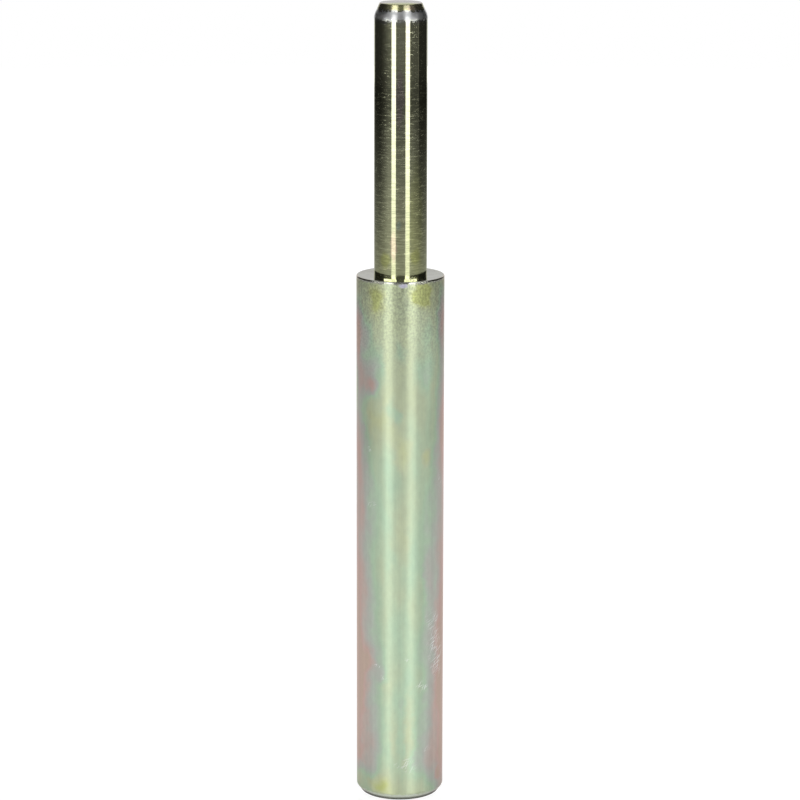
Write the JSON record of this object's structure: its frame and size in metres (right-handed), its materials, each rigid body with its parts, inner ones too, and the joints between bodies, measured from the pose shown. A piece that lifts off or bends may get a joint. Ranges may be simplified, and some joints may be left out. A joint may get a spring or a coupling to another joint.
{
  "type": "drift punch",
  "caption": "Round drift punch: a bright ground pin with a chamfered tip, pressed into a thicker satin zinc-plated body that is struck on its chamfered end.",
  "frame": {"origin": "centre of the striking face, on the surface that the punch stands on", "axes": "+Z along the punch's axis, from the striking face to the pin's tip"},
  "size_m": [0.025, 0.025, 0.23],
  "materials": {
    "bright_zinc": "ground bright, zinc plated with a pale yellow-green passivation",
    "satin_zinc": "satin, zinc plated with an iridescent yellow-green passivation"
  },
  "bodies": {
    "root": {"drift_pin": "bright_zinc", "striking_body": "satin_zinc"}
  },
  "joints": []
}
